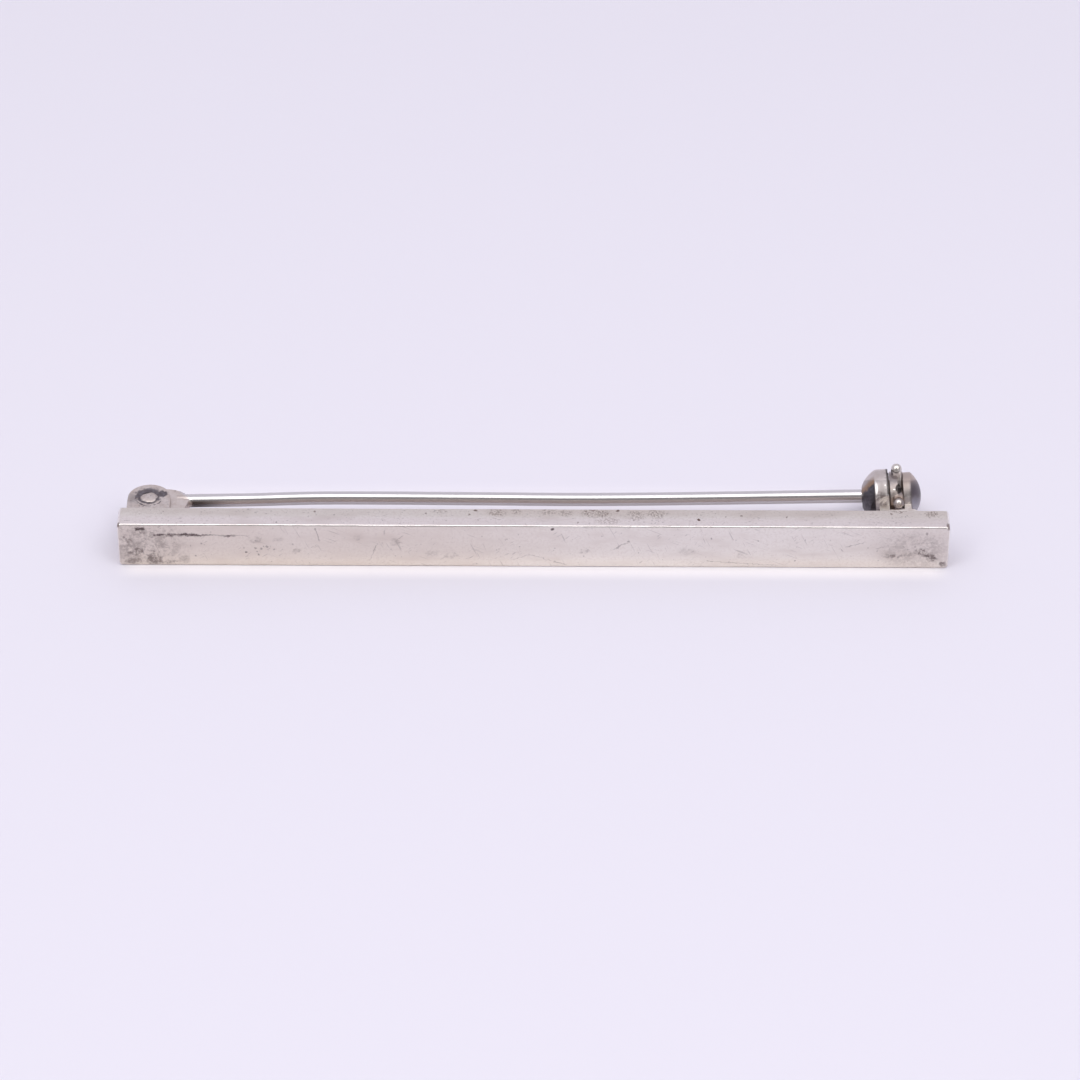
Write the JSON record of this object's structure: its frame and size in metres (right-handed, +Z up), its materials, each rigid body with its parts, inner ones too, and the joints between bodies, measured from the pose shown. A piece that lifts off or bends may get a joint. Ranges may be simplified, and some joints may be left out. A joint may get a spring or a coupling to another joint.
{
  "type": "bar brooch",
  "caption": "Plain rectangular bar brooch in silver metal, with a riveted hinged pin stem and a ball safety catch whose rotor turns to lock the pin.",
  "frame": {"origin": "middle of the long narrow face that the bar stands on", "axes": "+X along the bar from the hinge towards the catch, -Y out of the plain front face, +Z up from the face it stands on"},
  "size_m": [0.058, 0.0076, 0.0043],
  "materials": {
    "satin_silver": "satin, lightly tarnished silver",
    "hinge_silver": "matte, tarnished silver",
    "pin_wire": "polished hard wire",
    "catch_silver": "worn polished silver, dark in its recesses"
  },
  "bodies": {
    "brooch": {"bar": "satin_silver", "hinge_bracket": "hinge_silver", "hinge_rivet": "hinge_silver", "catch_foot": "catch_silver", "catch_cheek_left": "catch_silver", "catch_cheek_right": "catch_silver"},
    "pin": {"pin_stem": "pin_wire"},
    "rotor": {"catch_rotor": "catch_silver"}
  },
  "joints": [
    {"name": "pin_swing", "type": "hinge", "parent": "brooch", "child": "pin", "pos_m": [-0.0271, 0.00327, 0.0019], "axis": [0, 0, 1], "range_deg": [0, 120]},
    {"name": "rotor_turn", "type": "hinge", "parent": "brooch", "child": "rotor", "pos_m": [0.0252, 0.00488, 0.0019], "axis": [-0.9962, 0, -0.0872], "range_deg": [0, 220]}
  ]
}
